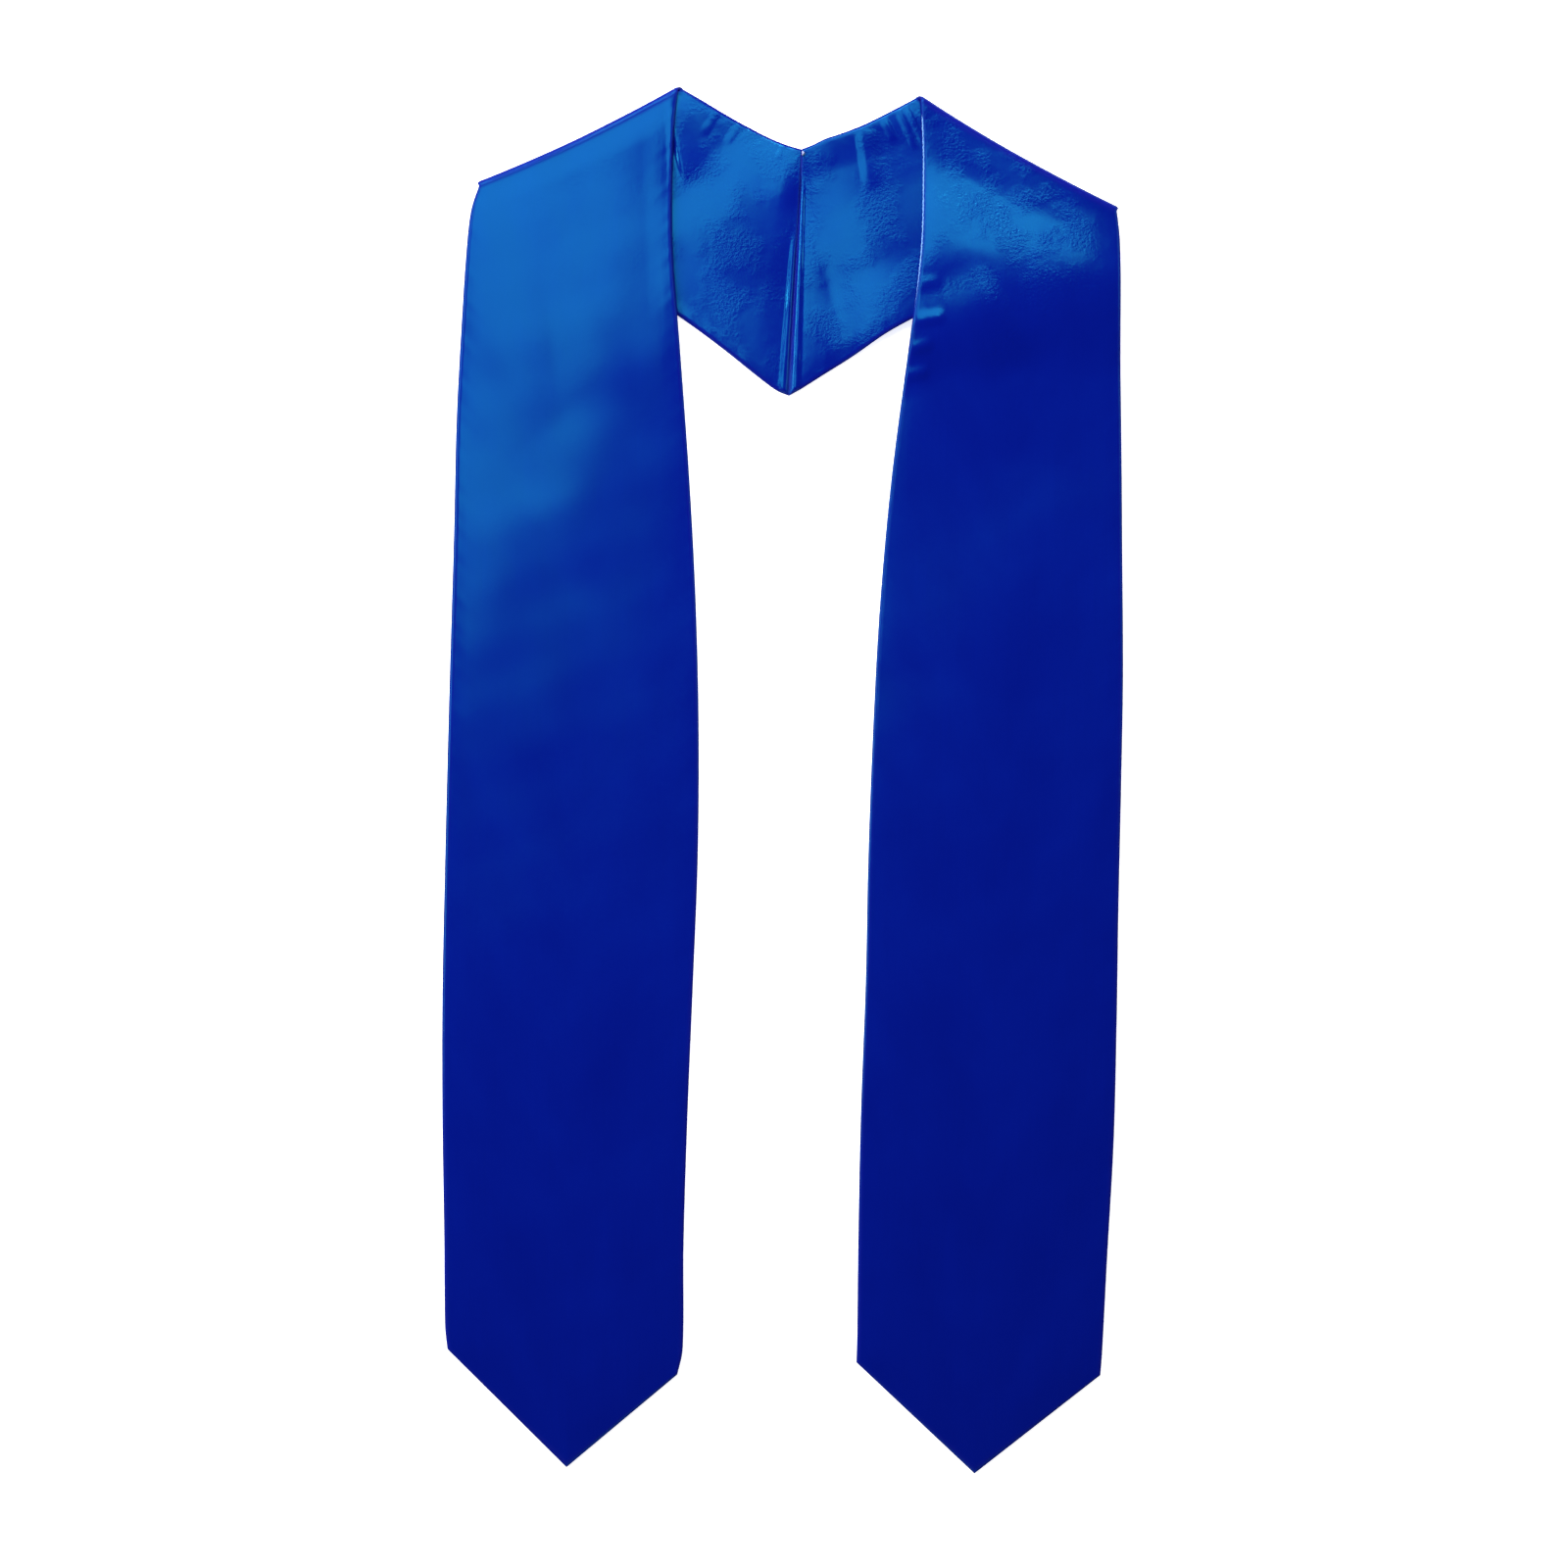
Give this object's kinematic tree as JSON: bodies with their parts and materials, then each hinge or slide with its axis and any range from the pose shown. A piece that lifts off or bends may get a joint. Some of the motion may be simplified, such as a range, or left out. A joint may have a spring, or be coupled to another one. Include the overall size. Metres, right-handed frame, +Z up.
{
  "type": "graduation stole",
  "caption": "Long blue satin stole worn round the neck over a gown, laid flat, folded at the shoulders, with a V-shaped yoke and pointed front bands.",
  "frame": {"origin": "on the floor, under the middle of the laid stole's bounding box", "axes": "+Z up from the floor; +Y towards the neck end, opposite the pointed ends; +X to the right, seen from above"},
  "size_m": [0.3858, 0.7854, 0.0148],
  "materials": {
    "face_satin": "satin",
    "lining_satin": "satin"
  },
  "bodies": {
    "root": {"left_face": "face_satin", "left_lining": "lining_satin", "right_face": "face_satin", "right_lining": "lining_satin"}
  },
  "joints": []
}
